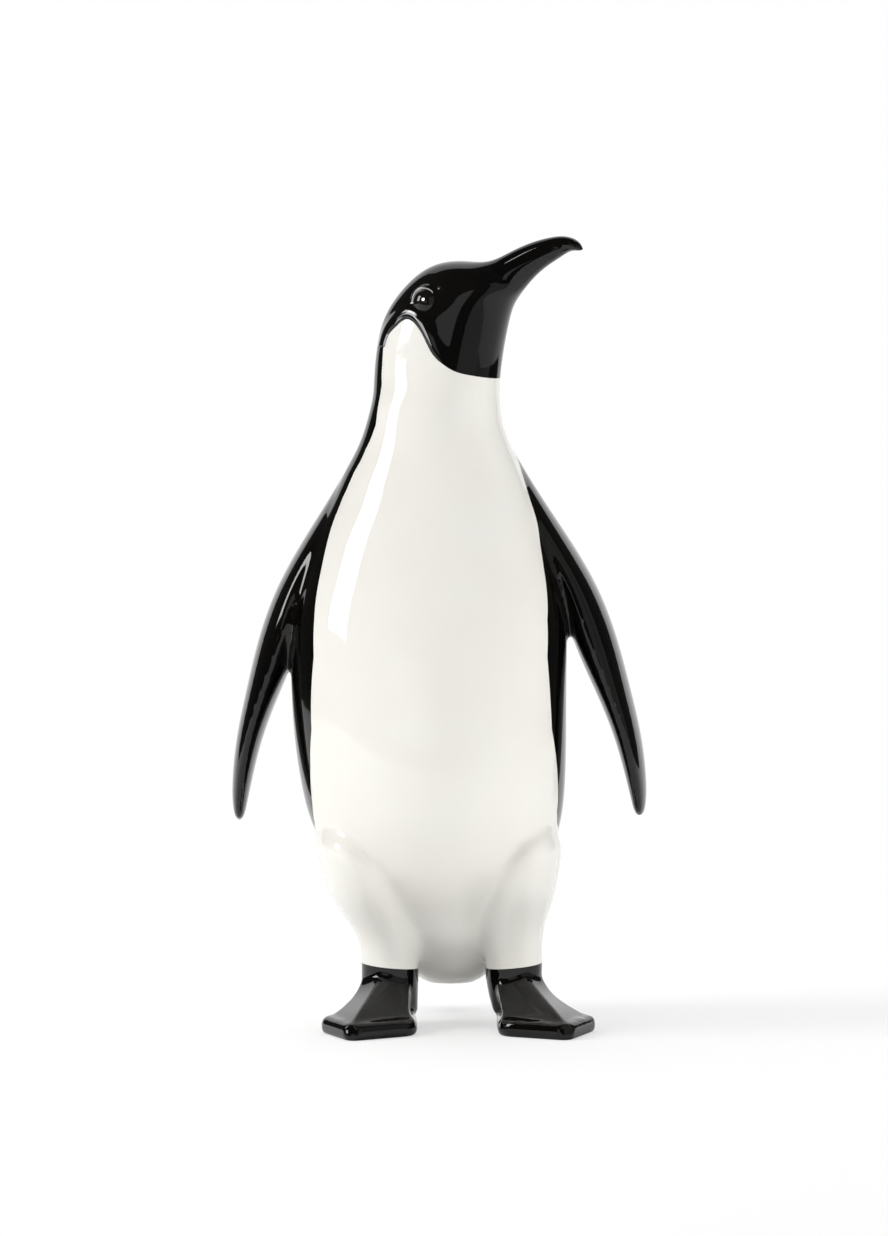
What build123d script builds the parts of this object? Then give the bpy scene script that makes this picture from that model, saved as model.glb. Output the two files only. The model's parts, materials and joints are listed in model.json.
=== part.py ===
from build123d import *
import math
import os

# Overall sizes of the figurine, in millimetres. It looks towards -Y and +X is at the right of the viewer
figure_height = 255.0
trunk_half_width = 44.4
belly_depth = 44.0
back_depth = 41.0
head_span = 42.5
head_heading = 62.0
cast_wall = 4.0

# Trunk and neck: height, centre, half width, front and back of level rings, with the turn of their start
ring_steps = 8
trunk_shares = (
    (0.047, 0.080, 0.160, -0.390, 0.660, 0),
    (0.063, 0.080, 0.290, -0.140, 0.830, 0),
    (0.087, 0.070, 0.380, 0.020, 0.930, 0),
    (0.110, 0.060, 0.440, 0.180, 0.980, 0),
    (0.142, 0.030, 0.530, 0.350, 1.000, 0),
    (0.171, 0.010, 0.640, 0.540, 1.000, 0),
    (0.200, 0.000, 0.750, 0.700, 0.990, 0),
    (0.232, -0.010, 0.840, 0.820, 0.970, 0),
    (0.262, -0.025, 0.905, 0.905, 0.955, 0),
    (0.315, -0.047, 0.960, 0.985, 0.930, 0),
    (0.386, -0.070, 0.990, 1.000, 0.900, 0),
    (0.457, -0.077, 1.000, 0.965, 0.885, 0),
    (0.528, -0.072, 0.985, 0.900, 0.875, 0),
    (0.590, -0.069, 0.900, 0.810, 0.840, 2),
    (0.642, -0.062, 0.800, 0.710, 0.780, 6),
    (0.673, -0.051, 0.723, 0.645, 0.730, 12),
    (0.705, -0.044, 0.643, 0.580, 0.660, 20),
    (0.734, -0.036, 0.563, 0.530, 0.575, 31),
    (0.764, -0.036, 0.498, 0.495, 0.505, 43),
    (0.795, -0.025, 0.464, 0.480, 0.465, 54),
)

# Head and bill: nape or top line and throat line in the plane that the head looks along, and half widths.
# The lengths are shares of the head's span and the heights are shares of the figure's height
head_axis_y = -1.0
head_shares = (
    (-0.510, 0.820, 0.468, 0.822, 0.440),
    (-0.485, 0.866, 0.503, 0.858, 0.420),
    (-0.410, 0.905, 0.545, 0.889, 0.405),
    (-0.260, 0.938, 0.585, 0.909, 0.370),
    (-0.040, 0.962, 0.628, 0.920, 0.320),
    (0.200, 0.967, 0.668, 0.927, 0.245),
    (0.430, 0.966, 0.712, 0.934, 0.165),
    (0.600, 0.977, 0.785, 0.946, 0.132),
    (0.790, 0.990, 0.905, 0.961, 0.108),
    (0.960, 0.997, 1.020, 0.972, 0.090),
    (1.080, 0.997, 1.118, 0.979, 0.072),
    (1.163, 0.991, 1.183, 0.979, 0.052),
    (1.196, 0.984, 1.199, 0.980, 0.022),
)
bill_root_row = 6
cavity_first_row = 2
cavity_last_head_row = 4

# Mouth line: the groove along both sides of the bill, from the hook of the tip to the corner of the mouth
mouth_first_row = 4
mouth_depth = 0.5
mouth_gap = 0.6
mouth_shares = (
    (1.120, 0.9846),
    (1.070, 0.9852),
    (0.953, 0.9803),
    (0.833, 0.9722),
    (0.714, 0.9643),
    (0.624, 0.9582),
    (0.544, 0.9511),
    (0.488, 0.9449),
    (0.443, 0.9392),
)

# Flank line, where the white breast meets the black back: height, heading and how far forward it cuts
parting_reach = 80.0
parting_shares = (
    (0.000, 0, -0.800),
    (0.142, 0, -0.700),
    (0.205, 0, -0.450),
    (0.262, 0, 0.000),
    (0.290, 3, 0.257),
    (0.338, 2, 0.455),
    (0.384, 1.6, 0.533),
    (0.475, 1.2, 0.552),
    (0.520, 1.0, 0.510),
    (0.583, 2.4, 0.400),
    (0.642, 4, 0.280),
    (0.673, 5, 0.221),
    (0.704, 9, 0.160),
    (0.734, 20, 0.055),
    (0.764, 36, -0.055),
    (0.795, 50, -0.180),
    (0.827, 60, -0.275),
    (0.930, 62, -0.285),
)

# Lower edge of the black hood, seen square to the side of the head, from the throat round the cheek to the nape
hood_edge_shares = (
    (0.480, 0.8215),
    (0.392, 0.8250),
    (0.303, 0.8300),
    (0.226, 0.8390),
    (0.165, 0.8490),
    (0.110, 0.8650),
    (0.019, 0.8880),
    (-0.073, 0.8955),
    (-0.170, 0.8870),
    (-0.236, 0.8790),
    (-0.288, 0.8620),
)
hood_throat_share = 0.819
hood_nape_share = 0.857
hood_reach = 70.0

# Flippers: height, distance of the middle from the centre line, thickness, chord and middle of the chord
flipper_reach = 65.0
flipper_chord = 36.0
flipper_thickness = 12.6
flipper_turn = {"right": 1.0, "left": -8.0}
shoulder_shift = -1.5
flipper_lift = {"right": 0.0, "left": 1.3}
flipper_shares = (
    (0.735, 0.325, 0.60, 0.40, 0.12),
    (0.710, 0.365, 0.75, 0.58, 0.12),
    (0.668, 0.446, 0.94, 0.76, 0.13),
    (0.617, 0.570, 0.98, 0.92, 0.16),
    (0.554, 0.703, 1.02, 0.99, 0.19),
    (0.490, 0.788, 1.10, 1.00, 0.22),
    (0.427, 0.871, 0.90, 0.93, 0.25),
    (0.363, 0.947, 0.67, 0.79, 0.27),
    (0.312, 0.985, 0.51, 0.60, 0.28),
    (0.281, 0.999, 0.37, 0.42, 0.29),
    (0.266, 1.002, 0.23, 0.26, 0.29),
    (0.261, 1.003, 0.08, 0.09, 0.29),
)

# Legs: height, distance from the centre line, half width, half depth and middle of the depth
ankle_spacing = 20.0
ankle_half_width = 9.2
ankle_half_depth = 9.6
ankle_height_share = 0.0792
stance_shift = 4.0
leg_rise_share = 0.2176
ankle_tilt = 5.5
thigh_swell = {"right": 1.14, "left": 1.07}
leg_shares = (
    (-0.08, 1.00, 0.98, 0.98, 0.00, 1.00),
    (0.00, 1.00, 1.00, 1.00, 0.00, 1.00),
    (0.14, 0.97, 1.12, 1.18, 0.05, 0.90),
    (0.29, 1.05, 1.28, 1.58, 0.20, 0.50),
    (0.42, 1.18, 1.36, 2.00, 0.40, 0.25),
    (0.56, 1.29, 1.33, 2.25, 0.62, 0.10),
    (0.70, 1.46, 1.10, 2.20, 0.82, -0.05),
    (0.84, 1.64, 0.82, 1.80, 0.95, -0.25),
    (0.96, 1.66, 0.40, 1.00, 1.00, -0.30),
)

# Feet: webbed fans with a ridge along the middle toe. The rings climb from the rim to the ankle, with the
# share of the way that the middle toe and the side toes still reach
foot_length = 41.0
foot_rim = 5.8
foot_edge_radius = 1.7
foot_corner_radius = 2.4
sole_edge_radius = 0.8
foot_turnout = {"right": 18.0, "left": 25.0}
heel_ahead_share = -0.262
side_ahead_share = -0.020
inner_side_shares = {"right": 0.215, "left": 0.140}
outer_side_share = 0.200
side_toe_ahead_share = 0.510
inner_toe_shares = {"right": 0.395, "left": 0.385}
outer_toe_shares = {"right": 0.425, "left": 0.495}
foot_ring_shares = (
    (0.275, 1.00, 1.00),
    (0.430, 0.76, 0.56),
    (0.620, 0.42, 0.22),
    (0.860, 0.03, 0.02),
)
foot_root_share = 0.93
ankle_taper = {"right": 0.96, "left": 0.70}
ankle_taper_shares = ((0.24, 1.00), (0.60, 0.32), (0.85, 0.05), (1.00, 0.00), (1.20, 0.00))
foot_root_angles = (180, -115, -62, 0, 62, 115)

# Tail: how far back, top, underside and half width of its rings
tail_length = 34.0
tail_rise = 30.0
tail_half_width = 11.0
tail_root_y = 20.0
tail_underside = 11.0
tail_shares = (
    (0.00, 1.00, 0.10, 1.00),
    (0.35, 0.82, 0.02, 1.08),
    (0.65, 0.50, 0.00, 0.98),
    (0.88, 0.26, 0.00, 0.72),
    (1.00, 0.14, 0.04, 0.38),
)

# Eyes: pellets pressed into sockets in the sides of the head
eye_radius = 4.4
eye_seat_depth = 2.4
eye_sink = 2.3
eye_forward_share = 0.065
eye_height_share = 0.917
lid_radius = 0.7
lid_drop = 0.6

# Pour and vent hole under the rump
vent_radius = 3.0
vent_y = 22.0
vent_length = 30.0

over = 10.0


def closed_ring(points):
    """One smooth closed outline through points that lie in a plane"""
    return make_face(Spline(*points, periodic=True))


def level_ring(x, y, z, half_width, front, back, turn=0.0):
    """A level oval whose widest line runs through x and y"""
    points = []
    for step in range(ring_steps):
        angle = math.radians(turn + step * 360 / ring_steps)
        forward = math.cos(angle)
        depth = front if forward > 0 else back
        points.append((x + half_width * math.sin(angle), y - depth * forward, z))
    return closed_ring(points)


def trunk_ring(row, inset):
    """One ring of the trunk, drawn in by the wall for the hollow inside"""
    height, centre, width, front, back, turn = row
    front_y = -front * belly_depth + inset
    back_y = back * back_depth - inset
    depth = (back_y - front_y) / 2
    middle = (back_y + front_y) / 2
    z = height * figure_height
    half_width = width * trunk_half_width - inset
    return level_ring(centre * trunk_half_width, middle, z, half_width, depth, depth, turn)


def head_frame():
    """Directions of the head: ahead along its look, and across it"""
    angle = math.radians(head_heading)
    ahead = Vector(math.sin(angle), -math.cos(angle), 0)
    across = Vector(math.cos(angle), math.sin(angle), 0)
    return ahead, across


def head_point(along, height, side=0.0):
    """A point by its distance ahead of the neck's axis, its height and its distance across the head"""
    ahead, across = head_frame()
    return Vector(0, head_axis_y, height) + ahead * along + across * side


def head_ring(row, inset):
    """One ring of the head or bill, between the nape or top line and the throat line"""
    back_along, back_height, front_along, front_height, width = row
    back = head_point(back_along * head_span, back_height * figure_height)
    front = head_point(front_along * head_span, front_height * figure_height)
    middle = (back + front) / 2
    forward = (front - back).normalized()
    reach = (front - back).length / 2 - inset
    half_width = width * head_span - inset
    across = head_frame()[1]
    points = []
    for step in range(ring_steps):
        angle = math.radians(step * 360 / ring_steps)
        ahead_of_middle = forward * (reach * math.cos(angle))
        beside_middle = across * (half_width * math.sin(angle))
        points.append(middle + ahead_of_middle + beside_middle)
    return closed_ring(points)


def make_figure():
    """The whole outer form from the rump over neck and head to the tip of the bill"""
    rings = [trunk_ring(row, 0.0) for row in trunk_shares]
    rings += [head_ring(row, 0.0) for row in head_shares]
    return loft(rings)


def make_cavity():
    """The hollow inside, one wall within the outer form"""
    rings = [trunk_ring(row, cast_wall) for row in trunk_shares[cavity_first_row:]]
    rings += [head_ring(row, cast_wall) for row in head_shares[:cavity_last_head_row]]
    return loft(rings)


def make_breast_side():
    """Everything in front of the flank line"""
    rings = []
    for height, heading, cut in parting_shares:
        plan = Rectangle(2 * parting_reach, parting_reach, align=(Align.CENTER, Align.MAX))
        place = Pos(0, 0, height * figure_height) * Rot(0, 0, heading)
        rings.append(place * Pos(0, -cut * belly_depth, 0) * plan)
    return loft(rings, ruled=True)


def make_hood_side():
    """Everything above the lower edge of the hood, drawn square to the side of the head"""
    edge = [(along * head_span, height * figure_height) for along, height in hood_edge_shares]
    throat = (hood_reach, hood_throat_share * figure_height)
    nape = (-hood_reach, hood_nape_share * figure_height)
    top = figure_height + over
    ahead, across = head_frame()
    side_view = Plane(origin=(0, head_axis_y, 0), x_dir=ahead, z_dir=-across)
    curve = Spline(*edge)
    outline = curve + Polyline(edge[-1], nape, (-hood_reach, top), (hood_reach, top), throat, edge[0])
    return extrude(side_view * make_face(outline), amount=hood_reach, both=True)


def bill_cutter():
    """Everything ahead of the root of the bill"""
    back_along, back_height, front_along, front_height, width = head_shares[bill_root_row]
    back = head_point(back_along * head_span, back_height * figure_height)
    front = head_point(front_along * head_span, front_height * figure_height)
    across = head_frame()[1]
    root = Plane(origin=(back + front) / 2, x_dir=across, z_dir=(front - back).cross(across))
    return root * Box(head_span, head_span, head_span + over, align=(Align.CENTER, Align.CENTER, Align.MIN))


def make_mouth_line():
    """The groove between the upper and lower bill, open to both sides and as deep as the core allows"""
    ahead, across = head_frame()
    side_view = Plane(origin=(0, head_axis_y, 0), x_dir=ahead, z_dir=-across)
    lower = [(along * head_span, height * figure_height) for along, height in mouth_shares]
    upper = [(along, height + mouth_gap) for along, height in lower]
    outline = Spline(*lower) + Line(lower[-1], upper[-1]) + Spline(*upper) + Line(upper[0], lower[0])
    slit = extrude(side_view * make_face(outline), amount=head_span, both=True)
    core = loft([head_ring(row, mouth_depth) for row in head_shares[mouth_first_row:-1]])
    return slit - core


def make_flipper(side):
    """A blade that hangs from the shoulder, thick at its leading edge"""
    sign = -1 if side == "right" else 1
    top = flipper_shares[0][0]
    tip = flipper_shares[-1][0]
    rings = []
    for height, reach, thick, chord, middle in flipper_shares:
        climb = (height - tip) / (top - tip)
        x = sign * reach * flipper_reach + climb * shoulder_shift
        y = middle * flipper_chord
        z = height * figure_height + (1 - climb) * flipper_lift[side]
        half_chord = chord * flipper_chord / 2
        ring = level_ring(0, 0, 0, thick * flipper_thickness / 2, half_chord, half_chord)
        rings.append(Pos(x, y, z) * Rot(0, 0, flipper_turn[side]) * ring)
    return loft(rings)


def ankle_height():
    """Where the middle of the ankles' glaze line lies above the soles"""
    return ankle_height_share * figure_height


def below_ankle(side):
    """Everything below the glaze line of an ankle, which falls towards the inner side"""
    sign = -1 if side == "right" else 1
    place = Pos(sign * ankle_spacing + stance_shift, 0, ankle_height()) * Rot(0, -sign * ankle_tilt, 0)
    width = 2 * foot_length + over
    return place * Box(width, width, figure_height, align=(Align.CENTER, Align.CENTER, Align.MAX))


def make_leg(side):
    """A thigh that swells out of the belly and ends at the ankle"""
    sign = -1 if side == "right" else 1
    rings = []
    for rise, reach, width, depth, forward, shift in leg_shares:
        swell = 1 + (thigh_swell[side] - 1) * forward
        half_width = swell * width * ankle_half_width
        outward = reach * ankle_spacing - (swell - 1) * width * ankle_half_width
        half_depth = swell * depth * ankle_half_depth
        y = -forward * ankle_half_depth
        z = (ankle_height_share + rise * leg_rise_share) * figure_height
        x = sign * outward + shift * stance_shift
        rings.append(level_ring(x, y, z, half_width, half_depth, half_depth))
    return loft(rings) - below_ankle(side)


def foot_outline(foot, inset):
    """Heel, inner side, inner toe, middle toe, outer toe and outer side of a foot, as distances ahead and out"""
    toe = side_toe_ahead_share * foot_length - inset
    side = side_ahead_share * foot_length
    return (
        (heel_ahead_share * foot_length + inset, 0),
        (side, inset - inner_side_shares[foot] * foot_length),
        (toe, inset - inner_toe_shares[foot] * foot_length),
        (foot_length - inset, 0),
        (toe, outer_toe_shares[foot] * foot_length - inset),
        (side, outer_side_share * foot_length - inset),
    )


def foot_ring(side, height, middle_reach, side_reach):
    """A level ring of the foot's slopes, between the ankle and the inner edge of the rim"""
    reaches = (side_reach, side_reach, side_reach, middle_reach, side_reach, side_reach)
    points = []
    for (ahead, out), angle, reach in zip(foot_outline(side, foot_edge_radius), foot_root_angles, reaches):
        turn = math.radians(angle)
        root_ahead = ankle_half_depth * foot_root_share * math.cos(turn)
        root_out = ankle_half_width * foot_root_share * math.sin(turn)
        points.append((root_out + (out - root_out) * reach, -(root_ahead + (ahead - root_ahead) * reach)))
    return Pos(0, 0, height * ankle_height()) * make_face(Polyline(*points, close=True))


def make_foot(side):
    """A webbed foot: flat sole, low rounded rim and two hollow slopes that meet in a ridge"""
    sign = -1 if side == "right" else 1
    outline = [(out, -ahead) for ahead, out in foot_outline(side, 0.0)]
    rim = make_face(Polyline(*outline, close=True))
    rim = fillet(rim.vertices(), foot_corner_radius)
    plate = extrude(rim, amount=foot_rim)
    plate = fillet(plate.edges().group_by(Axis.Z)[-1], foot_edge_radius)
    plate = fillet(plate.edges().group_by(Axis.Z)[0], sole_edge_radius)
    slopes = loft([foot_ring(side, *row) for row in foot_ring_shares])
    rings = []
    for height, taper in ankle_taper_shares:
        width = 1 - taper * (1 - ankle_taper[side])
        ring = Ellipse(width * ankle_half_width, width * ankle_half_depth)
        rings.append(Pos(0, 0, height * ankle_height()) * ring)
    stub = loft(rings)
    foot = plate + slopes + stub
    if side == "right":
        foot = mirror(foot, Plane.YZ)
    turned = Rot(0, 0, sign * foot_turnout[side]) * foot
    return (Pos(sign * ankle_spacing + stance_shift, 0, 0) * turned) & below_ankle(side)


def make_tail():
    """A short wedge of stiff tail feathers under the end of the back"""
    x = trunk_shares[0][1] * trunk_half_width
    rings = []
    for along, top, bottom, width in tail_shares:
        y = tail_root_y + along * tail_length
        high = tail_underside + top * tail_rise
        low = tail_underside + bottom * tail_rise
        ring = Ellipse(width * tail_half_width, (high - low) / 2)
        rings.append(Plane(origin=(x, y, (high + low) / 2), x_dir=(1, 0, 0), z_dir=(0, 1, 0)) * ring)
    return loft(rings)


def eye_seat(side, figure):
    """The plane of an eye's flat back, a little under the skin of the head"""
    sign = -1 if side == "right" else 1
    height = eye_height_share * figure_height
    start = head_point(eye_forward_share * head_span, height)
    across = head_frame()[1] * sign
    ray = Edge.make_line(start, start + across * head_span)
    skin = (ray & figure).vertices().sort_by(Axis((0, 0, 0), across))[-1]
    return Plane(origin=Vector(*skin) - across * eye_seat_depth, z_dir=across)


def make_eye(seat):
    """A domed pellet whose flat back lies in a socket"""
    ball = Pos(0, 0, eye_seat_depth - eye_sink) * Sphere(eye_radius)
    front = Cylinder(eye_radius + over, eye_radius + over, align=(Align.CENTER, Align.CENTER, Align.MIN))
    return seat * (ball & front)


def make_lid(seat):
    """The ring that stands a little proud round an eye"""
    return seat * Pos(0, 0, eye_seat_depth - lid_drop) * Torus(eye_radius, lid_radius)


def make_parts():
    """Every piece of the figurine, each cut where it meets its neighbours"""
    figure = make_figure()
    hollow = make_cavity()
    hood_side = make_hood_side()
    ahead_of_face = bill_cutter()
    drill = Cylinder(vent_radius, vent_length, align=(Align.CENTER, Align.CENTER, Align.MIN))
    vent = Pos(trunk_shares[0][1] * trunk_half_width, vent_y, 0) * drill
    seats = {side: eye_seat(side, figure) for side in ("right", "left")}
    eyes = {side: make_eye(seat) for side, seat in seats.items()}
    mouth_line = make_mouth_line()

    bill = (figure & ahead_of_face) - mouth_line
    shell = figure - ahead_of_face - hollow - vent
    hood = (shell & hood_side) - mouth_line
    for side, seat in seats.items():
        hood = hood + make_lid(seat) - eyes[side]
    body = shell - hood_side
    breast_side = make_breast_side()
    parts = {
        "head_hood": hood,
        "bill": bill,
        "breast_shell": body & breast_side,
        "back_shell": body - breast_side,
        "tail": make_tail() - figure - vent,
    }
    for side in ("right", "left"):
        parts["eye_" + side] = eyes[side]
        parts["flipper_" + side] = make_flipper(side) - figure
        parts["leg_" + side] = make_leg(side) - figure - parts["tail"]
        parts["foot_" + side] = make_foot(side)
    return parts


def centred(parts):
    """All pieces moved together, so that the origin lies under the middle of the whole, at the soles"""
    box = Compound(list(parts.values())).bounding_box()
    middle = box.center()
    return {name: Pos(-middle.X, -middle.Y, -box.min.Z) * piece for name, piece in parts.items()}


os.makedirs("parts", exist_ok=True)
for name, piece in centred(make_parts()).items():
    piece.label = name
    export_step(piece, "parts/" + name + ".step")
    print(name, len(piece.solids()), round(piece.volume))
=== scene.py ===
import json
import math

import bmesh
import bpy
import numpy as np
from bpy.props import FloatProperty, FloatVectorProperty, IntProperty, PointerProperty
from mathutils import Matrix, Vector
from mathutils.bvhtree import BVHTree

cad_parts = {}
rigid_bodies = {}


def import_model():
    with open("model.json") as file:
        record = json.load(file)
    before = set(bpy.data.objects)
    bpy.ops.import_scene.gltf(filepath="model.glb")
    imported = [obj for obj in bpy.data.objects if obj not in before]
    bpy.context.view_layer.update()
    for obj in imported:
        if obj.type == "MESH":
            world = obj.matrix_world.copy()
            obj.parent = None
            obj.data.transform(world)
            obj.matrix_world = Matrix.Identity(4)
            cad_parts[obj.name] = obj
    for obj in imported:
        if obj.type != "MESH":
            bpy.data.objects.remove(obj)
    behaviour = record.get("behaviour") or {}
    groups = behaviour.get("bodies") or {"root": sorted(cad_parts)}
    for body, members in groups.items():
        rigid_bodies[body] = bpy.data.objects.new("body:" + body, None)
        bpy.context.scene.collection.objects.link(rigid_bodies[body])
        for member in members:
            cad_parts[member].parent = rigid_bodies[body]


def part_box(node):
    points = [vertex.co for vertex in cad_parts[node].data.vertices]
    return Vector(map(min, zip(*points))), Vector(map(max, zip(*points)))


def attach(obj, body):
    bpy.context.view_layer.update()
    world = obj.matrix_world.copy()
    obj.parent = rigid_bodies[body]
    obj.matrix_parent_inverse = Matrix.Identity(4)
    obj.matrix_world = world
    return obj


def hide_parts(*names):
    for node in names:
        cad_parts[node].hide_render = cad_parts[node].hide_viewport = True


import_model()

bl_info = {
    "name": "Glazed penguin figurine",
    "version": (1, 0, 0),
    "blender": (4, 5, 0),
    "location": "View3D > Sidebar > Penguin",
    "description": "Builds the glazed ceramic penguin piece by piece, and the stage it stands on",
    "category": "Object",
}

MM = 0.001
WELD = 0.01 * MM

# Sizes of the figurine. The tables count from the ankles' axis, and the part's origin lies a little behind it
FIGURE_HEIGHT = 255.0 * MM
TRUNK_HALF_WIDTH = 44.4 * MM
BELLY_DEPTH = 44.0 * MM
BACK_DEPTH = 41.0 * MM
HEAD_SPAN = 42.5 * MM
HEAD_HEADING = math.radians(62.0)
HEAD_AXIS = Vector((0.0, -1.0 * MM, 0.0))
CAST_WALL = 4.0 * MM
TAIL_END = 54.0 * MM
TO_ORIGIN = Vector((-0.06 * MM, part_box("tail")[1].y - TAIL_END, 0.0))

# Trunk and neck: height, centre, half width, front, back and turn of level rings
TRUNK_SHARES = (
    (0.047, 0.080, 0.160, -0.390, 0.660, 0),
    (0.063, 0.080, 0.290, -0.140, 0.830, 0),
    (0.087, 0.070, 0.380, 0.020, 0.930, 0),
    (0.110, 0.060, 0.440, 0.180, 0.980, 0),
    (0.142, 0.030, 0.530, 0.350, 1.000, 0),
    (0.171, 0.010, 0.640, 0.540, 1.000, 0),
    (0.200, 0.000, 0.750, 0.700, 0.990, 0),
    (0.232, -0.010, 0.840, 0.820, 0.970, 0),
    (0.262, -0.025, 0.905, 0.905, 0.955, 0),
    (0.315, -0.047, 0.960, 0.985, 0.930, 0),
    (0.386, -0.070, 0.990, 1.000, 0.900, 0),
    (0.457, -0.077, 1.000, 0.965, 0.885, 0),
    (0.528, -0.072, 0.985, 0.900, 0.875, 0),
    (0.590, -0.069, 0.900, 0.810, 0.840, 2),
    (0.642, -0.062, 0.800, 0.710, 0.780, 6),
    (0.673, -0.051, 0.723, 0.645, 0.730, 12),
    (0.705, -0.044, 0.643, 0.580, 0.660, 20),
    (0.734, -0.036, 0.563, 0.530, 0.575, 31),
    (0.764, -0.036, 0.498, 0.495, 0.505, 43),
    (0.795, -0.025, 0.464, 0.480, 0.465, 54),
)

# Head and bill: nape or top line, throat line and half width
HEAD_SHARES = (
    (-0.510, 0.820, 0.468, 0.822, 0.440),
    (-0.485, 0.866, 0.503, 0.858, 0.420),
    (-0.410, 0.905, 0.545, 0.889, 0.405),
    (-0.260, 0.938, 0.585, 0.909, 0.370),
    (-0.040, 0.964, 0.628, 0.920, 0.320),
    (0.200, 0.970, 0.668, 0.927, 0.245),
    (0.430, 0.969, 0.712, 0.934, 0.165),
    (0.600, 0.979, 0.785, 0.946, 0.132),
    (0.790, 0.991, 0.905, 0.961, 0.108),
    (0.960, 0.997, 1.020, 0.972, 0.090),
    (1.080, 0.997, 1.118, 0.979, 0.072),
    (1.163, 0.991, 1.183, 0.979, 0.052),
    (1.196, 0.984, 1.199, 0.980, 0.022),
)
BILL_ROOT_ROW = 6
HOLLOW_FIRST_ROW = 2
HOLLOW_LAST_HEAD_ROW = 4
HOLLOW_STEPS = 3
HEAD_CUT_SHARE = 0.785

# Mouth line: the groove along both sides of the bill, from the hook of the tip to the corner of the mouth
MOUTH_DEPTH = 0.32 * MM
MOUTH_WIDTH = 0.85 * MM
MOUTH_FADE = 4.0 * MM
MOUTH_SHARES = (
    (1.120, 0.9846),
    (1.070, 0.9852),
    (0.953, 0.9803),
    (0.833, 0.9722),
    (0.714, 0.9643),
    (0.624, 0.9582),
    (0.544, 0.9511),
    (0.488, 0.9449),
    (0.443, 0.9392),
)

# Flank line between the white breast and the black back: height, heading and how far forward it cuts
PARTING_REACH = 80.0 * MM
PARTING_SHARES = (
    (0.000, 0, -0.800),
    (0.142, 0, -0.700),
    (0.205, 0, -0.450),
    (0.262, 0, 0.240),
    (0.278, 0, 0.318),
    (0.290, 1, 0.355),
    (0.338, 2, 0.455),
    (0.384, 1.6, 0.533),
    (0.475, 1.2, 0.552),
    (0.520, 1.0, 0.510),
    (0.583, 2.4, 0.400),
    (0.642, 4, 0.280),
    (0.673, 5, 0.221),
    (0.704, 9, 0.160),
    (0.734, 20, 0.055),
    (0.764, 36, -0.055),
    (0.795, 50, -0.180),
    (0.827, 60, -0.275),
    (0.930, 62, -0.285),
)

# Lower edge of the hood seen square to the side of the head, from the throat round the cheek to the nape
HOOD_REACH = 70.0 * MM
HOOD_THROAT_SHARE = 0.819
HOOD_NAPE_SHARE = 0.857
HOOD_EDGE_SHARES = (
    (0.480, 0.8215),
    (0.392, 0.8250),
    (0.303, 0.8300),
    (0.226, 0.8390),
    (0.165, 0.8490),
    (0.110, 0.8650),
    (0.019, 0.8880),
    (-0.073, 0.8955),
    (-0.170, 0.8870),
    (-0.236, 0.8790),
    (-0.288, 0.8620),
)
LIP_HEIGHT = 0.8 * MM
LIP_REACH = 6.0 * MM
LIP_FRONT_SHARES = (0.130, 0.300)
LIP_PEAK = 6.75
FACING_GAIN = 1.6
FACING_START = 0.3

# Flippers: height, distance of the middle from the centre line, thickness, chord and middle of the chord
FLIPPER_REACH = 65.0 * MM
FLIPPER_CHORD = 36.0 * MM
FLIPPER_THICKNESS = 12.6 * MM
FLIPPER_TURN = {"right": 1.0, "left": -8.0}
FLIPPER_LIFT = {"right": 0.0, "left": 1.3 * MM}
SHOULDER_SHIFT = -1.5 * MM
FLIPPER_SHARES = (
    (0.735, 0.325, 0.60, 0.40, 0.12),
    (0.710, 0.365, 0.75, 0.58, 0.12),
    (0.668, 0.446, 0.94, 0.76, 0.13),
    (0.617, 0.570, 0.98, 0.92, 0.16),
    (0.554, 0.703, 1.02, 0.99, 0.19),
    (0.490, 0.788, 1.10, 1.00, 0.22),
    (0.427, 0.871, 0.90, 0.93, 0.25),
    (0.363, 0.947, 0.67, 0.79, 0.27),
    (0.312, 0.985, 0.51, 0.60, 0.28),
    (0.281, 0.999, 0.37, 0.42, 0.29),
    (0.266, 1.002, 0.23, 0.26, 0.29),
    (0.261, 1.003, 0.08, 0.09, 0.29),
)

# Legs: height, distance from the centre line, half width, half depth, middle of the depth and stance shift
ANKLE_SPACING = 20.0 * MM
ANKLE_HALF_WIDTH = 9.2 * MM
ANKLE_HALF_DEPTH = 9.6 * MM
ANKLE_HEIGHT = 0.0792 * FIGURE_HEIGHT
ANKLE_TILT = math.radians(5.5)
STANCE_SHIFT = 4.0 * MM
LEG_RISE = 0.2176 * FIGURE_HEIGHT
THIGH_SWELL = {"right": 1.14, "left": 1.07}
LEG_SHARES = (
    (-0.08, 1.00, 0.98, 0.98, 0.00, 1.00),
    (0.00, 1.00, 1.00, 1.00, 0.00, 1.00),
    (0.14, 0.97, 1.12, 1.18, 0.05, 0.90),
    (0.29, 1.05, 1.28, 1.58, 0.20, 0.50),
    (0.42, 1.18, 1.36, 2.00, 0.40, 0.25),
    (0.56, 1.29, 1.33, 2.25, 0.62, 0.10),
    (0.70, 1.46, 1.10, 2.20, 0.82, -0.05),
    (0.84, 1.51, 0.66, 1.28, 0.92, -0.25),
    (0.93, 1.40, 0.22, 0.45, 0.92, -0.30),
)

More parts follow.
